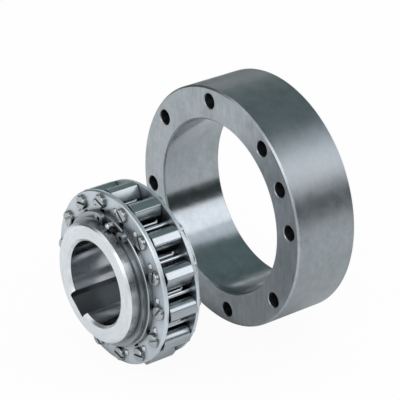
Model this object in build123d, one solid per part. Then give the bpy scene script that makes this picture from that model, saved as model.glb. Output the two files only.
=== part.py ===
"""Sprag clutch shown apart: a bolted outer ring, and the inner unit with its cage of sprags.

Millimetres, +Z up, +Y along both axes towards the back. The origin is on the floor, in the
middle of the footprint. The inner unit stands in front of the outer ring that it fits into.
Angles about an axis run from straight up (+Z) towards +X.
"""
import os
from math import cos, degrees, radians, sin

from build123d import *

# Inner ring. Everything outside it is stacked up from its track.
shaft_bore = 60.0
track_od = 85.0
inner_length = 58.0
nose_chamfer = 1.5
bore_chamfer = 1.8
keyway_width = 18.0
keyway_depth = 4.4
keyway_angle = -140.9

# Outer ring: its track lies the sprags' working gap outside the inner one
race_gap = 21.0
ring_wall = 24.0
ring_width = 50.0
ring_edge_chamfer = 1.2
ring_bore_chamfer = 1.0
bolt_hole = 11.0
bolt_rim_distance = 10.0
bolt_mouth_chamfer = 0.5
bolt_count = 8
bolt_first_angle = -7.9
extra_hole_pitches = 1.5
extra_hole_inset = 0.8

# Cage: two plates on two hub rings, with a row of sprags between them
cage_width = 29.0
plate_thickness = 3.0
plate_rim_distance = 6.55
plate_rim_chamfer = 0.7
hub_wall = 5.65
hub_projection = 3.5
hub_chamfer = 0.5
slide_clearance = 0.05
seat_clearance = 0.02
notch_width = 5.0
notch_depth = 1.1

# Retaining rings, and the pin that stands in the gap of the front one
circlip_thickness = 3.0
circlip_width = 6.2
circlip_offset = 1.3
circlip_lug_radius = 4.2
circlip_lug_hole = 3.0
circlip_lug_reach = 4.4
circlip_lug_angle = 16.3
circlip_gap_angle = 11.0
circlip_angle = 10.7
groove_depth = 1.75
groove_play = 0.15
drive_pin_diameter = 4.6
drive_pin_rise = 3.1
drive_pin_depth = 4.0
drive_pin_stand = 6.0
drive_pin_dome = 1.2

# Sprags and their pivot screws. A rise is a height above the inner track.
sprag_count = 14
first_angle = -61.5
pivot_rise = 12.7
journal_diameter = 5.0
journal_length = 7.6
journal_clearance = 0.08
sprag_front_clearance = 1.0
sprag_rear_clearance = 0.4
swing_in = 27.0
proud_sprags = (6, 7, 8, 9)
screw_head_diameter = 10.0
screw_head_height = 2.6
screw_head_round = 1.2
slot_width = 1.6
slot_depth = 1.4
slot_lean = 117.5
slot_turns = (0, 0, 0, 0, -6, 0, 9, 5, -2, -5, 0, 3, 0, -4)

# A sprag's outline about its pivot, swung fully out, as (outwards, along the row)
sprag_crest = (7.16, -1.65)
sprag_cam = (7.83, 0.62)
sprag_toe = (8.62, 3.48)
sprag_back = (4.55, 7.65)
sprag_heel = (-0.58, 11.10)
sprag_heel_tip = (-1.56, 11.35)
sprag_heel_base = (-2.26, 10.75)
sprag_foot_side = (-6.17, 8.90)
sprag_foot_right = (-7.98, 6.23)
sprag_foot_left = (-9.57, -1.82)
sprag_hollow = (-7.34, -3.16)
sprag_waist = (-4.63, -3.97)
sprag_shoulder = (0.47, -5.02)
sprag_brow = (4.42, -4.29)
sprag_toe_radius = 1.2
sole_clearance = 0.32
sole_angle = 12.1

# Spacer rods, riveted through both plates, and the sprags' wire springs
rod_diameter = 3.4
rod_rise = 10.9
rod_lead = 7.92
rod_head_diameter = 4.6
rod_head_height = 1.3
rod_head_edge = 0.3
spring_wire = 1.8
spring_rise = 11.7
spring_lead = 10.97
spring_reach = 15.0
spring_bend = 1.4
spring_seat = 2.0

# The gap between the two units as they stand on the bench
bench_gap = 48.3

# Sizes and places that follow from those above
track_radius = track_od / 2
ring_bore = track_od + 2 * race_gap
ring_od = ring_bore + 2 * ring_wall
bolt_radius = ring_od / 2 - bolt_rim_distance
hub_bore_radius = track_radius + slide_clearance
hub_radius = hub_bore_radius + hub_wall
drive_pin_radius = track_radius + drive_pin_rise
pivot_radius = track_radius + pivot_rise
plate_radius = pivot_radius + plate_rim_distance
sole_radius = pivot_rise - sole_clearance
rod_radius = track_radius + rod_rise
spring_radius = track_radius + spring_rise
rod_lead_angle = degrees(rod_lead / rod_radius)
spring_lead_angle = degrees(spring_lead / spring_radius)
pitch_angle = 360.0 / sprag_count
overall_length = inner_length + bench_gap + ring_width
nose_y = -overall_length / 2
ring_y = overall_length / 2 - ring_width
middle_y = nose_y + inner_length / 2
cage_y = middle_y - cage_width / 2
unit_z = plate_radius
plate_inner_y = cage_y + plate_thickness
sprag_room = cage_width - 2 * plate_thickness
sprag_length = sprag_room - sprag_front_clearance - sprag_rear_clearance
hub_length = hub_projection + plate_thickness

BASE = (Align.CENTER, Align.CENTER, Align.MIN)


def across(y, height):
    """The plane across an axis: its X points up, its Y to +X and its Z to the back."""
    return Plane(origin=(0, y, height), x_dir=(0, 0, 1), z_dir=(0, 1, 0)).location


def turned(angle):
    """A turn about the local axis, from straight up towards +X."""
    return Rotation(0, 0, angle)


def at_polar(radius, angle, z=0.0):
    """A place at a radius and an angle in the plane across the axis."""
    return Pos(radius * cos(radians(angle)), radius * sin(radians(angle)), z)


def facing_back(length):
    """Turns a piece end for end, for the back of something this long."""
    return Pos(0, 0, length) * Rotation(180, 0, 0)


def disc(radius, length, z=0.0):
    return Pos(0, 0, z) * Cylinder(radius, length, align=BASE)


def turned_ring(profile):
    """A ring turned from a closed outline of (radius, distance along the axis)."""
    outline = Polyline(*profile, close=True)
    return revolve(Plane.XZ * make_face(outline), Axis.Z)


def screw_angles():
    return [first_angle + pitch_angle * number for number in range(sprag_count)]


def outer_ring():
    outer = ring_od / 2
    bore = ring_bore / 2
    edge = ring_edge_chamfer
    lip = ring_bore_chamfer
    ring = turned_ring([
        (bore + lip, 0), (outer - edge, 0), (outer, edge),
        (outer, ring_width - edge), (outer - edge, ring_width),
        (bore + lip, ring_width), (bore, ring_width - lip), (bore, lip),
    ])
    step = 360.0 / bolt_count
    for number in range(bolt_count):
        ring -= at_polar(bolt_radius, bolt_first_angle + step * number) * bolt_opening()
    extra_angle = bolt_first_angle + step * extra_hole_pitches
    ring -= at_polar(bolt_radius - extra_hole_inset, extra_angle) * bolt_opening()
    return across(ring_y, ring_od / 2) * ring


def bolt_opening():
    """A plain through hole with a small chamfer at each mouth."""
    radius = bolt_hole / 2
    mouth = radius + bolt_mouth_chamfer
    return turned_ring([
        (0, 0), (mouth, 0), (radius, bolt_mouth_chamfer),
        (radius, ring_width - bolt_mouth_chamfer), (mouth, ring_width), (0, ring_width),
    ])


def groove_span():
    """The front retaining ring's groove, as its two distances from the nose."""
    inner_side = inner_length / 2 - cage_width / 2 - hub_projection
    return inner_side - circlip_thickness - groove_play, inner_side


def inner_ring():
    bore = shaft_bore / 2
    low = track_radius - groove_depth
    near, far = groove_span()
    ring = turned_ring([
        (bore + bore_chamfer, 0), (track_radius - nose_chamfer, 0), (track_radius, nose_chamfer),
        (track_radius, near), (low, near), (low, far), (track_radius, far),
        (track_radius, inner_length - far), (low, inner_length - far),
        (low, inner_length - near), (track_radius, inner_length - near),
        (track_radius, inner_length - nose_chamfer),
        (track_radius - nose_chamfer, inner_length), (bore + bore_chamfer, inner_length),
        (bore, inner_length - bore_chamfer), (bore, bore_chamfer),
    ])
    keyway = Box(bore + keyway_depth, keyway_width, inner_length,
                 align=(Align.MIN, Align.CENTER, Align.MIN))
    return across(nose_y, unit_z) * (ring - turned(keyway_angle) * keyway)


def hub_ring():
    """A hub ring as seen from outside: its projecting end first, its inner end last."""
    return turned_ring([
        (hub_bore_radius, 0), (hub_radius - hub_chamfer, 0), (hub_radius, hub_chamfer),
        (hub_radius, hub_length), (hub_bore_radius, hub_length),
    ])


def front_hub_ring():
    seat = disc(drive_pin_diameter / 2 + seat_clearance, drive_pin_depth)
    ring = hub_ring() - at_polar(drive_pin_radius, circlip_angle) * seat
    return across(cage_y - hub_projection, unit_z) * ring


def rear_hub_ring():
    front_end = across(cage_y - hub_projection, unit_z)
    return front_end * facing_back(cage_width + 2 * hub_projection) * hub_ring()


def domed(radius, apex, rim, end):
    """A round body on the axis: a dome from its apex to its rim, then straight to a flat end."""
    dome = TangentArc((0, apex), (radius, rim), tangent=(1, 0))
    rest = Polyline((radius, rim), (radius, end), (0, end), (0, apex))
    return revolve(Plane.XZ * make_face([dome, rest]), Axis.Z)


def drive_pin():
    radius = drive_pin_diameter / 2
    pin = domed(radius, -drive_pin_stand, drive_pin_dome - drive_pin_stand, drive_pin_depth)
    return across(cage_y - hub_projection, unit_z) * at_polar(drive_pin_radius, circlip_angle) * pin


def cage_plate():
    """A plain plate as seen from outside, its chamfered face first."""
    inner = hub_radius + seat_clearance
    return turned_ring([
        (inner, 0), (plate_radius - plate_rim_chamfer, 0), (plate_radius, plate_rim_chamfer),
        (plate_radius, plate_thickness), (inner, plate_thickness),
    ])


def plate_openings():
    """Everything that is cut through a plate, placed about the axis of the front plate."""
    screw_hole = disc(journal_diameter / 2 + seat_clearance, plate_thickness)
    rod_hole = disc(rod_diameter / 2 + seat_clearance, plate_thickness)
    notch = Box(2 * notch_depth, notch_width, plate_thickness)
    notch = Pos(hub_radius, 0, plate_thickness / 2) * notch
    openings = []
    for angle in screw_angles():
        openings.append(at_polar(pivot_radius, angle) * screw_hole)
        openings.append(at_polar(rod_radius, angle - rod_lead_angle) * rod_hole)
        openings.append(turned(angle) * notch)
    return openings


def front_cage_plate():
    plate = cage_plate() - plate_openings()
    seat = disc(spring_wire / 2 + seat_clearance, spring_seat, plate_thickness - spring_seat)
    for angle in screw_angles():
        plate -= at_polar(spring_radius, angle - spring_lead_angle) * seat
    return across(cage_y, unit_z) * plate


def rear_cage_plate():
    back = Pos(0, 0, cage_width - plate_thickness)
    plate = facing_back(cage_width) * cage_plate()
    return across(cage_y, unit_z) * (plate - [back * opening for opening in plate_openings()])


def circlip():
    """An external retaining ring: eccentric body, rounded lugs with plier holes."""
    inner = track_radius - groove_depth + slide_clearance
    lug_radius = inner + circlip_lug_reach
    body_radius = inner + circlip_width - circlip_offset
    body = Pos(-circlip_offset, 0) * Circle(body_radius)
    for side in (-1, 1):
        angle = side * circlip_lug_angle
        lug = Pos(lug_radius * cos(radians(angle)), lug_radius * sin(radians(angle)))
        body += lug * Circle(circlip_lug_radius)
        body -= lug * Circle(circlip_lug_hole / 2)
    body -= Circle(inner)
    reach = 2 * lug_radius
    half_gap = reach * sin(radians(circlip_gap_angle)) / cos(radians(circlip_gap_angle))
    body -= make_face(Polyline((0, 0), (reach, half_gap), (reach, -half_gap), close=True))
    return turned(circlip_angle) * extrude(body, circlip_thickness)


def front_circlip():
    return across(cage_y - hub_projection - circlip_thickness, unit_z) * circlip()


def rear_circlip():
    return across(cage_y + cage_width + hub_projection, unit_z) * circlip()


def sprag_profile():
    """The sprag's outline about its pivot, swung fully out.

    The cam face on top runs from the crest to the toe, the heel stands out towards the
    next sprag, and the rounded sole passes just clear of the inner ring's track.
    """
    sole = (-sole_radius * cos(radians(sole_angle)), sole_radius * sin(radians(sole_angle)))
    return [
        ThreePointArc(sprag_crest, sprag_cam, sprag_toe),
        ThreePointArc(sprag_toe, sprag_back, sprag_heel),
        ThreePointArc(sprag_heel, sprag_heel_tip, sprag_heel_base),
        ThreePointArc(sprag_heel_base, sprag_foot_side, sprag_foot_right),
        ThreePointArc(sprag_foot_right, sole, sprag_foot_left),
        ThreePointArc(sprag_foot_left, sprag_hollow, sprag_waist),
        Line(sprag_waist, sprag_shoulder),
        ThreePointArc(sprag_shoulder, sprag_brow, sprag_crest),
    ]


def sprag(number):
    """One sprag between the plates. All but the ones that hang out on the right are swung in."""
    outline = make_face(sprag_profile())
    toe = outline.vertices().sort_by_distance(sprag_toe)[0]
    body = extrude(fillet(toe, sprag_toe_radius), sprag_length)
    body -= disc(journal_diameter / 2 + journal_clearance, sprag_length)
    angle = screw_angles()[number - 1]
    swing = 0.0 if number in proud_sprags else swing_in
    place = at_polar(pivot_radius, angle, sprag_front_clearance)
    return across(plate_inner_y, unit_z) * place * turned(angle + swing) * body


def pivot_screw():
    """A slotted screw with a plain journal: round-edged head in front of z=0, journal behind."""
    head = screw_head_diameter / 2
    flat = (head - screw_head_round, -screw_head_height)
    side = (head, screw_head_round - screw_head_height)
    shank = journal_diameter / 2
    tip = plate_thickness + sprag_front_clearance + journal_length
    edge = TangentArc(flat, side, tangent=(1, 0))
    rest = Polyline(side, (head, 0), (shank, 0), (shank, tip), (0, tip), (0, -screw_head_height), flat)
    screw = revolve(Plane.XZ * make_face([edge, rest]), Axis.Z)
    slot = Pos(0, 0, slot_depth / 2 - screw_head_height)
    screw -= slot * Box(2 * screw_head_diameter, slot_width, slot_depth)
    return screw


def front_pivot_screws():
    screw = pivot_screw()
    front = across(cage_y, unit_z)
    return [front * at_polar(pivot_radius, angle) * turned(angle + slot_lean + turn) * screw
            for angle, turn in zip(screw_angles(), slot_turns)]


def rear_pivot_screws():
    screw = facing_back(cage_width) * pivot_screw()
    front = across(cage_y, unit_z)
    return [front * at_polar(pivot_radius, angle) * turned(angle - slot_lean) * screw
            for angle in screw_angles()]


def spacer_rod():
    """A rod through both plates, with a domed rivet head outside each."""
    rod = disc(rod_diameter / 2, cage_width)
    head = domed(rod_head_diameter / 2, -rod_head_height, -rod_head_edge, 0)
    return rod + head + facing_back(cage_width) * head


def spacer_rods():
    rod = spacer_rod()
    front = across(cage_y, unit_z)
    return [front * at_polar(rod_radius, angle - rod_lead_angle) * rod
            for angle in screw_angles()]


def spring_leg():
    """A spring's long leg: out of its seat in the front plate, then bent to the sprag's heel."""
    straight = disc(spring_wire / 2, spring_seat + spring_reach, -spring_seat)
    section = Plane(origin=(0, 0, spring_reach), z_dir=(0, 0, 1)) * Circle(spring_wire / 2)
    bend_axis = Axis((0, -spring_bend, spring_reach), (1, 0, 0))
    return straight + revolve(section, bend_axis, 90)


def spring_legs():
    leg = spring_leg()
    inside = across(plate_inner_y, unit_z)
    angles = [angle - spring_lead_angle for angle in screw_angles()]
    return [inside * at_polar(spring_radius, angle) * turned(angle) * leg for angle in angles]


def group(name, pieces):
    """Several separate solids under one name."""
    return Compound(label=name, children=pieces)


def build():
    nodes = {
        "outer_ring": outer_ring(),
        "inner_ring": inner_ring(),
        "front_hub_ring": front_hub_ring(),
        "rear_hub_ring": rear_hub_ring(),
        "front_cage_plate": front_cage_plate(),
        "rear_cage_plate": rear_cage_plate(),
        "front_circlip": front_circlip(),
        "rear_circlip": rear_circlip(),
        "drive_pin": drive_pin(),
        "spacer_rods": group("spacer_rods", spacer_rods()),
        "spring_legs": group("spring_legs", spring_legs()),
        "front_pivot_screws": group("front_pivot_screws", front_pivot_screws()),
        "rear_pivot_screws": group("rear_pivot_screws", rear_pivot_screws()),
    }
    for number in range(1, sprag_count + 1):
        nodes[f"sprag_{number:02d}"] = sprag(number)
    return nodes


os.makedirs("parts", exist_ok=True)
for name, shape in build().items():
    export_step(shape, f"parts/{name}.step")
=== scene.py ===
"""Sprag clutch shown apart, dressed in ground, turned and satin steel on a pale studio floor."""
from collections import namedtuple
from math import cos, pi, radians, sin

import bpy
from mathutils import Matrix, Vector

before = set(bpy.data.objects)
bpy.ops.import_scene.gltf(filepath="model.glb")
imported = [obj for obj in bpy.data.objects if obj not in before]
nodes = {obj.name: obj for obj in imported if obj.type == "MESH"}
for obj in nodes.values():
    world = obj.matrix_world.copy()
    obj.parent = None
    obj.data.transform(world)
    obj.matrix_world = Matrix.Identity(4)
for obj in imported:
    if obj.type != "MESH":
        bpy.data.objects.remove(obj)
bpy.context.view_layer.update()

MM = 0.001
WHITE = (1.0, 1.0, 1.0)

# Where the axes of the outer ring and of the inner unit run, as (x, z)
RING_AXIS = (0.0, 87.5 * MM)
UNIT_AXIS = (0.0, 61.75 * MM)

# Camera, at the photograph's angle
CAMERA_PLACE = (1.01521, -0.76340, 0.72628)
CAMERA_RIGHT = (0.60708, 0.79464, 0.0)
CAMERA_UP = (-0.35073, 0.26795, 0.89732)
CAMERA_BACK = (0.71305, -0.54475, 0.44138)
CAMERA_LENS = 185.6
CAMERA_SENSOR = 36.0
CAMERA_REACH = 50.0

# How far a normal leans towards Y on a flat end or its chamfer, at the least
END_LEAN = 0.6

# The radius at which streaks round the axis are drawn, whatever their own, and the least
# radius that a place is divided by
TURN_RADIUS = 60.0 * MM
LEAST_RADIUS = 0.01 * MM

# Detail and roughness of the noise in the streaks and in the stains
STREAK_NOISE = (3.0, 0.6)
STAIN_NOISE = (4.0, 0.6)

# Scale, detail and roughness of the noise in the clouds, and the part of its values they use
CLOUD_NOISE = (120.0, 6.0, 0.75)
CLOUD_RANGE = (0.3, 0.7)

# How far the streaks' noise is stretched past their darkest and their lightest tone
STREAK_STRETCH = 0.35

# How much streaks and clouds change the roughness, either way
STREAK_SWING = 0.05
CLOUD_SWING = 0.04

# From where to where a stain fades in, its tone, and what it adds to the roughness
STAIN_RANGE = (0.60, 0.72)
STAIN_TONE = 0.45
STAIN_ROUGH = 0.25

# The tone of the painted shade deep in a hollow, and how deep the streaks are
PAINTED_SHADE_TONE = 0.12
STREAK_DEPTH = 0.02 * MM

# How far a brushed surface's highlights are turned from round the axis, as a share of a turn
BRUSH_TURN = 0.25

# The floor's side, its colour near the object and far out, and where it fades from one to the other
FLOOR_SIDE = 12.0
FLOOR_NEAR = (0.84, 0.865, 0.87)
FLOOR_FAR = (0.10, 0.12, 0.12)
FLOOR_FADE = (0.55, 1.6)

# The share of plain white that the floor shows to the camera, and that steel mirrors in it
FLOOR_SEEN = 0.95
FLOOR_MIRRORED = 0.15

# The floor has a painted shadow in an oval between the two units: its middle, its half sizes,
# the share of them in which it is darkest, and its tone there
PAINTED_SHADOW_PLACE = (0.01, -0.01, 0.0)
PAINTED_SHADOW_SIZE = (0.15, 0.085, 1.0)
PAINTED_SHADOW_CORE = 0.2
PAINTED_SHADOW_TONE = 0.68

# How bright the world is as a light, where its white backdrop is 1
WORLD_LIGHT = 0.85

# Where the lamps and cards stand round, and what they face
LOOK_AT = Vector((0.0, 0.0, 0.08))

# Which sockets of a mix node are its two values and its result
MIX_SOCKETS = {"VECTOR": (4, 5, 1), "RGBA": (6, 7, 2)}

# A tone is a share of a steel's colour. Ends are its flat ends, where they differ, and calm is
# the share of their streaks that the rest has. A Bore is what lies within a radius, and a Slot
# is cut in it from a radius on, its tone a painted shade that darkens that recess.
Ends = namedtuple("Ends", "tone rough lay calm")
Bore = namedtuple("Bore", "radius tone rough")
Slot = namedtuple("Slot", "radius tone")


class Graph:
    """Short names for building one node tree."""

    def __init__(self, tree):
        self.tree = tree
        self.tree.nodes.clear()

    def node(self, kind, **settings):
        made = self.tree.nodes.new(kind)
        for key, value in settings.items():
            setattr(made, key, value)
        return made

    def feed(self, socket, value):
        """Links another node's output to a socket, or sets a number, place or colour on it."""
        if isinstance(value, bpy.types.NodeSocket):
            self.tree.links.new(value, socket)
        elif socket.type == "RGBA":
            socket.default_value = (*value, 1.0)
        else:
            socket.default_value = value

    def result(self, shader, kind="ShaderNodeOutputMaterial"):
        """Makes a shader node the tree's result."""
        self.feed(self.node(kind).inputs[0], shader.outputs[0])

    def here(self, which="Object"):
        """Where a point of the surface lies, or its normal."""
        return self.node("ShaderNodeTexCoord").outputs[which]

    def math(self, operation, a, b=None):
        made = self.node("ShaderNodeMath", operation=operation)
        self.feed(made.inputs[0], a)
        if b is not None:
            self.feed(made.inputs[1], b)
        return made.outputs[0]

    def mix(self, factor, a, b, data_type="RGBA", blend_type="MIX"):
        made = self.node("ShaderNodeMix", data_type=data_type, blend_type=blend_type)
        first, second, result = MIX_SOCKETS[data_type]
        self.feed(made.inputs[0], factor)
        self.feed(made.inputs[first], a)
        self.feed(made.inputs[second], b)
        return made.outputs[result]

    def spread(self, value, low, high, start=0.0, stop=1.0, kind="LINEAR"):
        """Takes a value of start to stop to the range low to high, and keeps it in there."""
        made = self.node("ShaderNodeMapRange", interpolation_type=kind)
        for socket, given in zip(made.inputs, (value, start, stop, low, high)):
            self.feed(socket, given)
        return made.outputs[0]

    def noise(self, vector, scale, detail, rough):
        made = self.node("ShaderNodeTexNoise")
        self.feed(made.inputs["Vector"], vector)
        self.feed(made.inputs["Scale"], scale)
        self.feed(made.inputs["Detail"], detail)
        self.feed(made.inputs["Roughness"], rough)
        return made.outputs["Fac"]

    def vector(self, x, y, z):
        made = self.node("ShaderNodeCombineXYZ")
        for socket, value in zip(made.inputs, (x, y, z)):
            self.feed(socket, value)
        return made.outputs[0]

    def split(self, vector):
        """The three numbers of a vector."""
        made = self.node("ShaderNodeSeparateXYZ")
        self.feed(made.inputs[0], vector)
        return made.outputs

    def length(self, vector):
        made = self.node("ShaderNodeVectorMath", operation="LENGTH")
        self.feed(made.inputs[0], vector)
        return made.outputs["Value"]


def new_material(name):
    """A new material and the empty graph of its nodes."""
    made = bpy.data.materials.new(name)
    made.use_nodes = True
    return made, Graph(made.node_tree)


def along_axis(graph, axis):
    """Where a point of the surface lies: x and z from the axis, y along it, and the radius."""
    x, y, z = graph.split(graph.here())
    x = graph.math("SUBTRACT", x, axis[0])
    z = graph.math("SUBTRACT", z, axis[1])
    squares = graph.math("ADD", graph.math("MULTIPLY", x, x), graph.math("MULTIPLY", z, z))
    return x, y, z, graph.math("SQRT", squares)


def across_axis(graph):
    """1 on the flat ends and their chamfers, whose normal runs along Y, and 0 on the rest."""
    lean = graph.math("ABSOLUTE", graph.split(graph.here("Normal"))[1])
    return graph.math("GREATER_THAN", lean, END_LEAN)


def grain_vector(graph, spot, end, lay, along):
    """Coordinates whose noise runs in streaks: round the axis, or along X, Y or Z.

    lay is "turned", "x", "y" or "z". end is 1 on the flat ends, where turning marks follow
    the radius. along is how much finer the grain is across its streaks than along them.
    """
    x, y, z, radius = spot
    if lay == "turned":
        reach = graph.math("MAXIMUM", radius, LEAST_RADIUS)
        slow = TURN_RADIUS / along
        turn_x = graph.math("MULTIPLY", graph.math("DIVIDE", x, reach), slow)
        turn_z = graph.math("MULTIPLY", graph.math("DIVIDE", z, reach), slow)
        across = graph.math("ADD", graph.math("MULTIPLY", radius, end), y)
        return graph.vector(turn_x, across, turn_z)
    return graph.vector(*[graph.math("MULTIPLY", value, 1 / along if lay == way else 1.0)
                          for way, value in zip("xyz", (x, y, z))])


def steel(name, colour, rough, lay="turned", axis=UNIT_AXIS, grain=2600.0, along=22.0,
          streak=0.12, cloud=0.08, bump=0.06, brush=0.0, stain=0.0, stain_scale=22.0,
          ends=None, bore=None, slot=None, edge=0.25 * MM, hollow=4.5 * MM):
    """A bare steel surface with streaks of its machining, soft clouds, faint stains and painted
    shade.

    edge is how far its edges are worn round, and hollow is how near to other surfaces its painted
    shade starts to darken the colour. slot is read only where there is a bore.
    """
    made, graph = new_material(name)
    spot = along_axis(graph, axis)
    radius = spot[3]
    end = across_axis(graph)
    flow = grain_vector(graph, spot, end, lay, along)
    level = rough
    tones = []
    if ends:
        flow = graph.mix(end, flow, grain_vector(graph, spot, end, ends.lay, along), "VECTOR")
        level = graph.spread(end, rough, ends.rough)
        tones.append(graph.spread(end, 1.0, ends.tone))
    if bore:
        within = graph.math("LESS_THAN", radius, bore.radius)
        within = graph.math("MULTIPLY", within, graph.math("SUBTRACT", 1.0, end))
        level = graph.math("ADD", graph.spread(within, 0.0, bore.rough - rough), level)
        tones.append(graph.spread(within, 1.0, bore.tone))
        if slot:
            # A Slot's tone is painted shade, darkening the keyway cut in the bore
            cut = graph.math("GREATER_THAN", radius, slot.radius)
            tones.append(graph.spread(graph.math("MULTIPLY", within, cut), 1.0, slot.tone))

    streaks = graph.noise(flow, grain, *STREAK_NOISE)
    if ends:
        swing = graph.math("SUBTRACT", streaks, 0.5)
        swing = graph.math("MULTIPLY", swing, graph.spread(end, ends.calm, 1.0))
        streaks = graph.math("ADD", swing, 0.5)
    place = graph.here()
    clouds = graph.spread(graph.noise(place, *CLOUD_NOISE), 0.0, 1.0, *CLOUD_RANGE)
    tones.append(graph.spread(clouds, 1.0 - cloud, 1.0))
    # Painted shade: ambient occlusion darkens the colour in hollows and near other parts
    painted_shade = graph.node("ShaderNodeAmbientOcclusion", samples=8)
    graph.feed(painted_shade.inputs["Distance"], hollow)
    tones.append(graph.spread(painted_shade.outputs["AO"], PAINTED_SHADE_TONE, 1.0))

    dark = tuple(part * (1 - streak) for part in colour)
    light = tuple(min(1.0, part * (1 + streak)) for part in colour)
    paint = graph.mix(graph.spread(streaks, -STREAK_STRETCH, 1.0 + STREAK_STRETCH), dark, light)
    for tone in tones:
        paint = graph.mix(1.0, paint, tone, blend_type="MULTIPLY")
    shine = graph.math("ADD", graph.spread(streaks, -STREAK_SWING, STREAK_SWING), level)
    shine = graph.math("ADD", graph.spread(clouds, -CLOUD_SWING, CLOUD_SWING), shine)
    if stain:
        spots = graph.noise(place, stain_scale, *STAIN_NOISE)
        spots = graph.spread(spots, 0.0, stain, *STAIN_RANGE)
        paint = graph.mix(spots, paint, tuple(part * STAIN_TONE for part in colour))
        shine = graph.math("ADD", shine, graph.math("MULTIPLY", spots, STAIN_ROUGH))

    worn = graph.node("ShaderNodeBevel", samples=6)
    graph.feed(worn.inputs["Radius"], edge)
    raised = graph.node("ShaderNodeBump")
    graph.feed(raised.inputs["Strength"], bump)
    graph.feed(raised.inputs["Distance"], STREAK_DEPTH)
    graph.feed(raised.inputs["Height"], streaks)
    graph.feed(raised.inputs["Normal"], worn.outputs[0])

    shader = graph.node("ShaderNodeBsdfPrincipled")
    graph.result(shader)
    graph.feed(shader.inputs["Metallic"], 1.0)
    graph.feed(shader.inputs["Base Color"], paint)
    graph.feed(shader.inputs["Roughness"], shine)
    graph.feed(shader.inputs["Normal"], raised.outputs[0])
    if brush:
        tangent = graph.node("ShaderNodeTangent", direction_type="RADIAL", axis="Y")
        graph.feed(shader.inputs["Anisotropic"], brush)
        graph.feed(shader.inputs["Anisotropic Rotation"], BRUSH_TURN)
        graph.feed(shader.inputs["Tangent"], tangent.outputs[0])
    return made


def dress(material, *names):
    """Gives CAD nodes one material."""
    for name in names:
        data = nodes[name].data
        data.materials.clear()
        data.materials.append(material)


ring_steel = steel(
    "ring_ground_steel", (0.38, 0.412, 0.435), 0.37, axis=RING_AXIS, grain=1000.0,
    streak=0.16, cloud=0.26, brush=0.45, stain=0.35, hollow=12.0 * MM,
    ends=Ends(tone=1.36, rough=0.36, lay="z", calm=0.3),
    bore=Bore(radius=65.0 * MM, tone=1.08, rough=0.18))
# The inner ring's Slot darkens its keyway with painted shade
track_steel = steel(
    "inner_ring_ground_steel", (0.525, 0.54, 0.56), 0.26, grain=1600.0,
    streak=0.14, bump=0.03, brush=0.7, stain=0.2, hollow=14.0 * MM,
    ends=Ends(tone=1.70, rough=0.36, lay="turned", calm=1.0),
    bore=Bore(radius=37.0 * MM, tone=1.0, rough=0.16),
    slot=Slot(radius=30.1 * MM, tone=0.45))
plate_steel = steel(
    "plate_satin_steel", (0.79, 0.855, 0.91), 0.50, lay="y", grain=1200.0,
    streak=0.10, stain=0.3, hollow=7.0 * MM,
    ends=Ends(tone=0.89, rough=0.36, lay="z", calm=1.0))
hub_steel = steel("hub_turned_steel", (0.50, 0.54, 0.56), 0.28, hollow=9.0 * MM)
clip_steel = steel("retaining_ring_dark_steel", (0.40, 0.44, 0.45), 0.32, streak=0.15, stain=0.3)
sprag_steel = steel(
    "sprag_ground_steel", (0.46, 0.50, 0.525), 0.24, lay="y", grain=1500.0,
    streak=0.10, stain=0.2, edge=1.0 * MM, hollow=9.0 * MM)
screw_steel = steel(
    "screw_satin_steel", (0.50, 0.53, 0.54), 0.24, lay="z", along=4.0,
    streak=0.14, stain=0.5, stain_scale=160.0)
rod_steel = steel("rod_polished_steel", (0.66, 0.70, 0.73), 0.18, lay="y", streak=0.08)

dress(ring_steel, "outer_ring")
dress(track_steel, "inner_ring")
dress(plate_steel, "front_cage_plate", "rear_cage_plate")
dress(hub_steel, "front_hub_ring", "rear_hub_ring")
dress(clip_steel, "front_circlip", "rear_circlip")
dress(screw_steel, "front_pivot_screws", "rear_pivot_screws")
dress(rod_steel, "spacer_rods", "spring_legs", "drive_pin")
dress(sprag_steel, *[name for name in nodes if name.startswith("sprag_")])


def place_in_scene(name, data):
    """A new object in the scene, with a mesh, lamp or camera as its data."""
    made = bpy.data.objects.new(name, data)
    bpy.context.scene.collection.objects.link(made)
    return made


def set_camera():
    """The camera, placed by its own three axes."""
    data = bpy.data.cameras.new("camera")
    data.lens = CAMERA_LENS
    data.sensor_width = CAMERA_SENSOR
    data.clip_end = CAMERA_REACH
    camera = place_in_scene("camera", data)
    axes = Matrix((CAMERA_RIGHT, CAMERA_UP, CAMERA_BACK)).transposed()
    camera.matrix_world = Matrix.Translation(CAMERA_PLACE) @ axes.to_4x4()
    bpy.context.scene.camera = camera


def seen(graph, camera, mirrored):
    """A share for camera rays, one for glossy and transmission rays, and 0 for all others."""
    path = graph.node("ShaderNodeLightPath").outputs
    direct = graph.math("MULTIPLY", path["Is Camera Ray"], camera)
    either = graph.math("MAXIMUM", path["Is Glossy Ray"], path["Is Transmission Ray"])
    return graph.math("MAXIMUM", direct, graph.math("MULTIPLY", either, mirrored))


def set_world():
    """A white backdrop that gives off a little less light than it shows."""
    world = bpy.data.worlds.new("studio")
    bpy.context.scene.world = world
    world.use_nodes = True
    graph = Graph(world.node_tree)
    background = graph.node("ShaderNodeBackground")
    strength = graph.spread(seen(graph, 1.0, 1.0), WORLD_LIGHT, 1.0)
    graph.feed(background.inputs["Color"], WHITE)
    graph.feed(background.inputs["Strength"], strength)
    graph.result(background, "ShaderNodeOutputWorld")


def plane(name, width, height, place, facing=(0.0, 0.0, 1.0)):
    """A flat rectangle in the scene, its front along facing."""
    x, y = width / 2, height / 2
    mesh = bpy.data.meshes.new(name)
    mesh.from_pydata([(-x, -y, 0), (x, -y, 0), (x, y, 0), (-x, y, 0)], [], [(0, 1, 2, 3)])
    made = place_in_scene(name, mesh)
    turn = Vector(facing).to_track_quat("Z", "Y").to_matrix().to_4x4()
    made.matrix_world = Matrix.Translation(place) @ turn
    return made


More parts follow.
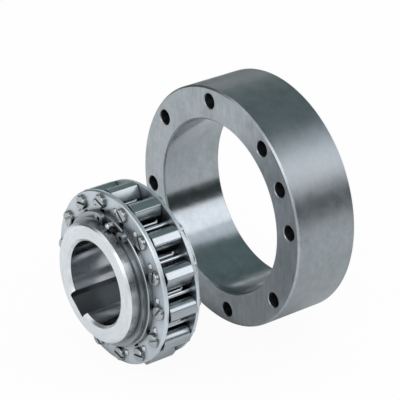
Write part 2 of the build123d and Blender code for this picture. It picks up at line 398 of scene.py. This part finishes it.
def set_floor():
    """A white floor that is darker far out, with a painted shadow between the units, which mostly
    steel mirrors.

    It is seen almost as bright as the backdrop, but still shaded by the object.
    """
    floor = plane("floor", FLOOR_SIDE, FLOOR_SIDE, (0.0, 0.0, 0.0))
    made, graph = new_material("floor_white")
    place = graph.here()
    near = graph.spread(graph.length(place), 1.0, 0.0, *FLOOR_FADE, "SMOOTHSTEP")
    # Painted shadow: the floor's colour is darkened in an oval between the two units
    oval = graph.node("ShaderNodeMapping", vector_type="TEXTURE")
    graph.feed(oval.inputs["Vector"], place)
    graph.feed(oval.inputs["Location"], PAINTED_SHADOW_PLACE)
    graph.feed(oval.inputs["Scale"], PAINTED_SHADOW_SIZE)
    share_out = graph.length(oval.outputs[0])
    painted_shadow = graph.spread(share_out, PAINTED_SHADOW_TONE, 1.0, PAINTED_SHADOW_CORE, 1.0, "SMOOTHSTEP")

    matt = graph.node("ShaderNodeBsdfDiffuse")
    paint = graph.mix(near, FLOOR_FAR, FLOOR_NEAR)
    graph.feed(matt.inputs["Color"], graph.mix(1.0, paint, painted_shadow, blend_type="MULTIPLY"))
    glow = graph.node("ShaderNodeEmission")
    graph.feed(glow.inputs["Color"], WHITE)
    graph.feed(glow.inputs["Strength"], 1.0)
    both = graph.node("ShaderNodeMixShader")
    mirrored = graph.math("MULTIPLY", graph.math("MULTIPLY", near, painted_shadow), FLOOR_MIRRORED)
    graph.feed(both.inputs[0], seen(graph, FLOOR_SEEN, mirrored))
    graph.feed(both.inputs[1], matt.outputs[0])
    graph.feed(both.inputs[2], glow.outputs[0])
    graph.result(both)
    floor.data.materials.append(made)


def towards(turn, lift, distance):
    """A place at an angle from +Y towards +X, and an angle above the horizon, in degrees."""
    turn, lift = radians(turn), radians(lift)
    way = Vector((cos(lift) * sin(turn), cos(lift) * cos(turn), sin(lift)))
    return LOOK_AT + way * distance


def card(name, turn, lift, distance, width, height, colour):
    """A matt card out of the picture that only the steel mirrors."""
    place = towards(turn, lift, distance)
    board = plane(name, width, height, place, LOOK_AT - place)
    made, graph = new_material(name)
    matt = graph.node("ShaderNodeBsdfDiffuse")
    graph.feed(matt.inputs["Color"], colour)
    graph.result(matt)
    board.data.materials.append(made)
    board.visible_camera = False
    board.visible_shadow = False
    board.visible_diffuse = False


def softbox(name, turn, lift, distance, width, height, glow, colour=WHITE):
    """An area lamp aimed at the object. glow is how bright its face is, white paper being 1."""
    data = bpy.data.lights.new(name, "AREA")
    data.shape = "RECTANGLE"
    data.size = width
    data.size_y = height
    data.energy = glow * pi * width * height
    data.color = colour
    made = place_in_scene(name, data)
    made.location = towards(turn, lift, distance)
    made.rotation_euler = (LOOK_AT - made.location).to_track_quat("-Z", "Y").to_euler()


bpy.context.scene.view_settings.view_transform = "Standard"
set_camera()
set_world()
set_floor()

# Two angles in degrees, then a distance, a width and a height in metres
card("dark_ceiling", -18.0, 58.0, 1.9, 3.2, 2.4, (0.47, 0.61, 0.61))
card("grey_corner", -62.0, 9.0, 2.3, 2.0, 0.6, (0.52, 0.58, 0.59))
card("dark_left", -110.0, 24.0, 2.2, 2.0, 1.7, (0.10, 0.13, 0.13))
card("dark_front", 130.0, 72.0, 2.0, 2.4, 1.3, (0.08, 0.11, 0.11))
card("dark_right", 105.0, 19.0, 2.2, 1.7, 1.7, (0.08, 0.11, 0.11))
card("dark_skirting", 60.0, 7.5, 2.1, 2.2, 0.60, (0.09, 0.12, 0.12))
softbox("softbox_right", 38.0, 34.5, 1.5, 0.95, 0.90, 1.04, (0.95, 0.96, 1.03))
softbox("softbox_front", 146.0, 36.0, 1.8, 1.3, 0.75, 1.5)
